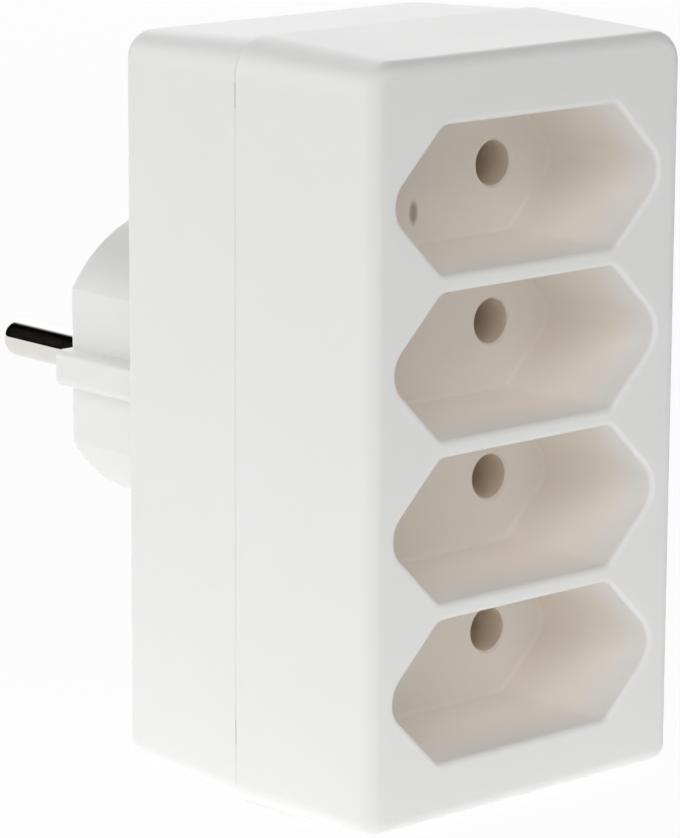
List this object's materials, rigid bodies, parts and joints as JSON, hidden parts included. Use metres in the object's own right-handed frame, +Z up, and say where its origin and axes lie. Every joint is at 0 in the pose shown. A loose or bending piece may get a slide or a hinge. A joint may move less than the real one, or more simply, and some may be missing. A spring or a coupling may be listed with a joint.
{
  "type": "multi socket adapter",
  "caption": "Upright box-shaped mains adapter with a column of flat two-pin socket recesses in front and a round two-pin plug on its back.",
  "frame": {"origin": "middle of the plug's engagement face, between the two pins", "axes": "+Y along the pins, away from the housing; +Z up along the column of sockets; the sockets face -Y; +X is right as seen from the front"},
  "size_m": [0.0496, 0.0825, 0.0883],
  "materials": {
    "housing_plastic": "white, moulded, satin",
    "pin_metal": "nickel-plated, polished",
    "contact_brass": "stamped, bare",
    "screw_steel": "zinc-plated"
  },
  "bodies": {
    "root": {"front_cover": "housing_plastic", "rear_housing": "housing_plastic", "plug_pin_left": "pin_metal", "plug_pin_right": "pin_metal", "contact_rail_left": "contact_brass", "contact_rail_right": "contact_brass", "housing_screws": "screw_steel"}
  },
  "joints": []
}
